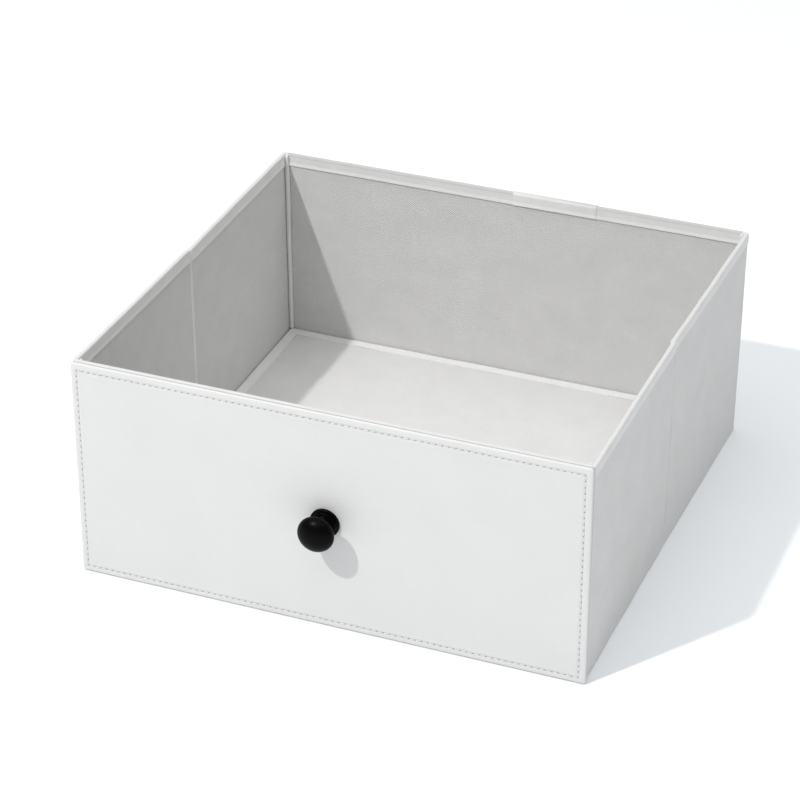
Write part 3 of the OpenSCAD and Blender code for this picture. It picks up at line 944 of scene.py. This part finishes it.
# The seam runs a little deeper inside the top and the right edge, as it was sewn.
SEAM_LEFT, SEAM_RIGHT = 4.7 * MM - PANEL_X, PANEL_X - 5.7 * MM
SEAM_LOW, SEAM_TOP = 4.9 * MM, PANEL_TOP - 6.2 * MM
STITCHES_WIDE = round((SEAM_RIGHT - SEAM_LEFT) / (5 * MM))
STITCHES_TALL = round((SEAM_TOP - SEAM_LOW) / (5 * MM))
GROOVE, FULLNESS = 0.3 * MM, 0.14 * MM
HOLE_DEEP, HOLE_LONG, HOLE_WIDE = 0.45 * MM, 0.75 * MM, 0.4 * MM
FACE_IN = 9.2 * MM          # the cover's fine rings end this far inside its edge
CELLS_X, CELLS_Z = 77, 33   # coarse cells over the middle of the face
PER_CELL, TURN_STEPS = 8, 8 # fine steps along a coarse cell, and round a corner
STITCH_SET = 0.04 * MM      # depth of the threads' middle behind the face


def hole_row(along, start, end, count):
    """1 at the needle holes along a seam, falling to 0 on the stitches between them."""
    pitch = (end - start) / count
    return bell((along - start + pitch / 2) % pitch - pitch / 2, HOLE_LONG)


def seam_inset(x, z):
    """Distance from the seam's line toward the panel's middle, and whether a side is nearer
    than the top and the bottom."""
    side = np.minimum(x - SEAM_LEFT, SEAM_RIGHT - x)
    end = np.minimum(z - SEAM_LOW, SEAM_TOP - z)
    return np.minimum(side, end), side < end


def needle_holes(x, z):
    inset, by_side = seam_inset(x, z)
    wide = hole_row(x, SEAM_LEFT, SEAM_RIGHT, STITCHES_WIDE)
    tall = hole_row(z, SEAM_LOW, SEAM_TOP, STITCHES_TALL)
    return bell(inset, HOLE_WIDE) * np.where(by_side, tall, wide)


def face_relief(x, z):
    """How far the panel's face stands in from flat: the seam's groove and holes, and the
    leather's slight fullness beside the seam."""
    inset, _ = seam_inset(x, z)
    full = FULLNESS * bell(np.abs(inset) - 2.2 * MM, 1.1 * MM)
    return GROOVE * bell(inset, 0.95 * MM) - full + HOLE_DEEP * needle_holes(x, z)


def cover_rings():
    """The cover's section, from the hem on the back round the edge onto the face, carried
    round the panel: the outer and the inner surface."""
    back, front = PANEL_BACK - COVER_T / 2, FACE_Y + COVER_T / 2
    edge, r = COVER_T / 2, COVER_ROUND
    behind = arc((edge + r, back - r), -r, r, 90, 0, 6)
    ahead = arc((edge + r, front + r), -r, r, 0, -90, 6)
    hem = np.linspace(COVER_HEM, behind[0][0], 9)[:-1]
    plain = np.linspace(ahead[-1][0], 2.9 * MM, 4)[1:]
    seam = np.arange(3.2, 7.6, 0.3) * MM
    path = [*((d, back) for d in hem), *map(tuple, behind), *map(tuple, ahead)]
    path += [(d, front) for d in (*plain, *seam, 7.9 * MM, 8.5 * MM, FACE_IN)]
    steps = (CELLS_X * PER_CELL, CELLS_Z * PER_CELL, TURN_STEPS)
    surfaces = []
    for side in two_sides(path, COVER_T):
        rings = []
        for inset, y in side:
            ring = outline(PANEL_X, PANEL_TOP / 2, PANEL_R, inset, *steps)
            rings.append([(x, y, z + PANEL_TOP / 2) for x, z in ring])
        surfaces.append(np.array(rings).transpose(1, 0, 2))
    surfaces.sort(key=lambda grid: grid[0, -1, 1])
    return surfaces


def shape_cover(outer):
    """Gives the cover's outer surface its relief, and presses its back in under the rim tape."""
    x, y, z = np.moveaxis(outer, -1, 0)
    on_face = y < FACE_Y + 0.05 * MM
    on_back = y > PANEL_BACK - 0.05 * MM
    beside_tape = smooth((z - TAPE_OUT_LOW + 1.5 * MM) / MM)
    within_wall = smooth((WALL_X + WALL_T - np.abs(x) + MM) / MM)
    y += np.where(on_face, face_relief(x, z), 0)
    y -= np.where(on_back, CLOTH * beside_tape * within_wall, 0)


def paint_cover_shade(piece):
    """Painted shade on the cover: in the needle holes, on its lower edge and at its back edge."""
    places = np.array([v.co for v in piece.data.vertices])
    x, y, z = places.T
    pricked = needle_holes(x, z) * (y < FACE_Y + MM)
    below = 0.85 * smooth((1.1 * MM - z) / (0.7 * MM))
    behind = 0.45 * smooth((y - PANEL_BACK + 2.5 * MM) / (0.6 * MM))
    painted_shade = piece.data.attributes.new("painted_shade", "FLOAT", "POINT")
    painted_shade.data.foreach_set("value", np.maximum(pricked, np.maximum(below, behind)))


def panel_cover():
    """The cover sheet as one closed mesh: fine rings at the edge, and a coarser middle."""
    outer, inner = cover_rings()
    shape_cover(outer)
    ids = numbered(outer)
    rows, count = len(ids), ids.size
    margin = FACE_IN + 3 * MM
    across = np.linspace(margin - PANEL_X, PANEL_X - margin, CELLS_X + 1)
    upward = np.linspace(margin, PANEL_TOP - margin, CELLS_Z + 1)
    gx, gz = np.meshgrid(across, upward, indexing="ij")
    points = [outer.reshape(-1, 3), inner.reshape(-1, 3)]
    ids = np.vstack([ids, ids[:1]])
    faces = grid_quads(np.stack([ids[:, 0], ids[:, 0] + count], 1)).reshape(-1, 4).tolist()
    middle = 2 * count
    face = FACE_Y + 0.03 * MM * ripple(gx, gz, 29)
    for near, y in ((0, face), (count, np.full_like(gx, FACE_Y + COVER_T))):
        faces += grid_quads(ids + near).reshape(-1, 4).tolist()
        points.append(np.stack([gx, y, gz], -1).reshape(-1, 3))
        cells = np.arange(gx.size).reshape(gx.shape) + middle
        middle += gx.size
        faces += grid_quads(cells).reshape(-1, 4).tolist()
        border = [cells[-1, :], cells[::-1, -1], cells[0, ::-1], cells[:, 0]]
        edge, start = ids[:-1, -1] + near, 0
        for row in border:
            turn = edge[start:start + TURN_STEPS + 1]
            faces.append([*turn[::-1], row[0]])
            start += TURN_STEPS
            for k in range(len(row) - 1):
                fine = [edge[(start + k * PER_CELL + j) % rows] for j in range(PER_CELL + 1)]
                faces.append([*fine[::-1], row[k], row[k + 1]])
            start += (len(row) - 1) * PER_CELL
    piece = mesh_piece("leather_cover", np.concatenate(points), faces, LEATHER, sharp=50)
    paint_cover_shade(piece)
    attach(piece, "front_and_base")
    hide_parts("front_cover")


def stitch_tube(centre, along, around):
    """One stitch: two twisted plies that arch over the leather and dive into the holes."""
    spin = np.radians(np.arange(0, 360, 36))
    proud = Vector((0, -1, 0))
    rings = []
    for t in np.linspace(-1, 1, 13):
        lift = STITCH_ARCH * (1 - t**2) - STITCH_DIVE * abs(t) ** 7
        r = THREAD_R * (1 + PLY_DEEP * np.cos(2 * (spin - PLY_TURN * t))) * (1 - 0.25 * abs(t) ** 5)
        middle = centre + along * t * STITCH_LEN / 2 + proud * lift
        rings.append([middle + around * (k * math.cos(a)) + proud * (k * math.sin(a))
                      for a, k in zip(spin, r, strict=True)])
    return np.array(rings)


def seam_places(start, end, count):
    """The middles of the stitches along one row."""
    return start + (np.arange(count) + 0.5) * (end - start) / count


def front_stitching():
    right, up = Vector((1, 0, 0)), Vector((0, 0, 1))
    across = seam_places(SEAM_LEFT, SEAM_RIGHT, STITCHES_WIDE)
    upward = seam_places(SEAM_LOW, SEAM_TOP, STITCHES_TALL)
    rows = [(x, z, right, up) for z in (SEAM_LOW, SEAM_TOP) for x in across]
    columns = [(x, z, up, right) for x in (SEAM_LEFT, SEAM_RIGHT) for z in upward]
    stitches = np.array([stitch_tube(Vector((x, FACE_Y + STITCH_SET, z)), along, around)
                         for x, z, along, around in rows + columns])
    faces = []
    for one in numbered(stitches):
        faces += ring_quads(one)
        faces += [one[0].tolist(), one[-1].tolist()]
    piece = mesh_piece("seam_stitches", stitches, faces, THREAD)
    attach(piece, "front_and_base")
    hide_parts("front_stitching")


panel_cover()
front_stitching()

# ---- knob ----

KNOB_BORE, KNOB_BORE_END = 3.0, 12.0    # the knob's own sizes, in mm from its foot
KNOB_FOOT, KNOB_NECK = 11.5, 6.5
KNOB_WIDE_AT, KNOB_UNDER = 17.0, 6.5


def knob_profile():
    """The turned outline as (radius, distance from the panel's face)."""
    reach = (FACE_Y - KNOB_LO.y) / MM
    head = (KNOB_HI.x - KNOB_LO.x) / 2 / MM
    from_neck = math.acos(KNOB_NECK / head)
    neck_top = KNOB_WIDE_AT - KNOB_UNDER * math.sin(from_neck)
    parts = [
        [(0, KNOB_BORE_END), (KNOB_BORE, KNOB_BORE_END), (KNOB_BORE, 0.2), (KNOB_BORE + 0.2, 0)],
        [(r, 0) for r in (5, 7, 9)],
        arc((KNOB_FOOT - 0.3, 0.3), 0.3, 0.3, -90, 0, 4),          # foot
        arc((KNOB_FOOT - 0.9, 1.5), 0.9, 0.9, 0, 84, 8),
        arc((9.75, 2.62), 0.28, 0.2, 90, 250, 6)[1:-1],            # groove
        arc((8.75, 3.2), 0.72, 0.72, -70, 80, 12),                 # lower bead
        arc((8.2, 4.05), 0.3, 0.22, 60, 250, 6)[1:-1],             # groove
        arc((7.5, 4.45), 0.45, 0.45, -60, 90, 8),                  # upper bead
        arc((7.45, 6.0), 0.95, 1.1, -100, -180, 8),                # cove up to the neck
        [(KNOB_NECK, h) for h in np.linspace(6.4, neck_top - 0.3, 5)],
        arc((0, KNOB_WIDE_AT), head, KNOB_UNDER, -math.degrees(from_neck), -7, 26),
        arc((0, KNOB_WIDE_AT), head, reach - KNOB_WIDE_AT, 0, 88.5, 34),
        [(0, reach)],
    ]
    return [(r * MM, h * MM) for part in parts for r, h in part]


def turned_knob():
    turns = np.radians(np.arange(0, 360, 2.5))
    rings = np.array([[(r * math.cos(a), FACE_Y - h, KNOB_Z + r * math.sin(a)) for a in turns]
                      for r, h in knob_profile()])
    piece = mesh_piece("turned_knob", rings, ring_quads(numbered(rings)), BLACK, sharp=50)
    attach(piece, "front_and_base")
    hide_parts("knob")


turned_knob()

# ---- stage, light and camera ----


def stage_floor():
    n = Nodes("studio_floor")
    cloud = n.noise(n.place(), 1.5, 2.0)
    # Its pale blue shows only in shadow, painted blue in the shade; where lit the floor comes out white.
    colour = n.tint(cloud, (0.82, 0.85, 0.87), (0.84, 0.87, 0.89))
    n.tree.links.new(colour, n.shader.inputs["Base Color"])
    n.shader.inputs["Roughness"].default_value = 0.9
    n.shader.inputs["Specular IOR Level"].default_value = 0.1
    # Painted light: the floor glows faintly, which lightens the shadows on it.
    n.shader.inputs["Emission Color"].default_value = (0.95, 0.98, 1.0, 1)
    n.shader.inputs["Emission Strength"].default_value = 0.115
    reach = 8.0
    corners = [(-reach, -reach, 0), (reach, -reach, 0), (reach, reach, 0), (-reach, reach, 0)]
    mesh_piece("studio_floor", corners, [(0, 1, 2, 3)], n.material)


def lamp(place, power, radius, colour):
    """A round studio lamp."""
    light = bpy.data.lights.new("key", "POINT")
    light.energy, light.shadow_soft_size, light.color = power, radius, colour
    add_object("key", light).location = place


def softbox(height, size, power):
    """A wide round light overhead, facing down."""
    light = bpy.data.lights.new("overhead", "AREA")
    light.shape, light.size, light.energy = "DISK", size, power
    add_object("overhead", light).location = (0, 0, height)


def world(strength):
    light = bpy.data.worlds.new("studio")
    light.use_nodes = True
    back = light.node_tree.nodes["Background"]
    back.inputs["Color"].default_value = (1, 1, 1, 1)
    back.inputs["Strength"].default_value = strength
    bpy.context.scene.world = light


def camera(place, azimuth, elevation, lens):
    data = bpy.data.cameras.new("camera")
    data.lens, data.sensor_width = lens, 36.0
    data.clip_start, data.clip_end = 0.05, 60.0
    a, e = math.radians(azimuth), math.radians(elevation)
    back = Vector((math.sin(a) * math.cos(e), -math.cos(a) * math.cos(e), math.sin(e)))
    eye = add_object("camera", data)
    eye.location = place
    eye.rotation_mode = "QUATERNION"
    eye.rotation_quaternion = (-back).to_track_quat("-Z", "Y")
    bpy.context.scene.camera = eye


stage_floor()
lamp(place=(-1.27, -2.28, 3.18), power=335.0, radius=0.06, colour=(1.0, 0.99, 0.98))
softbox(height=4.0, size=6.0, power=98.0)
world(strength=0.44)
camera(place=(0.6933, -1.7664, 1.1993), azimuth=21.822, elevation=30.208, lens=128.75)
bpy.context.scene.view_settings.view_transform = "Standard"
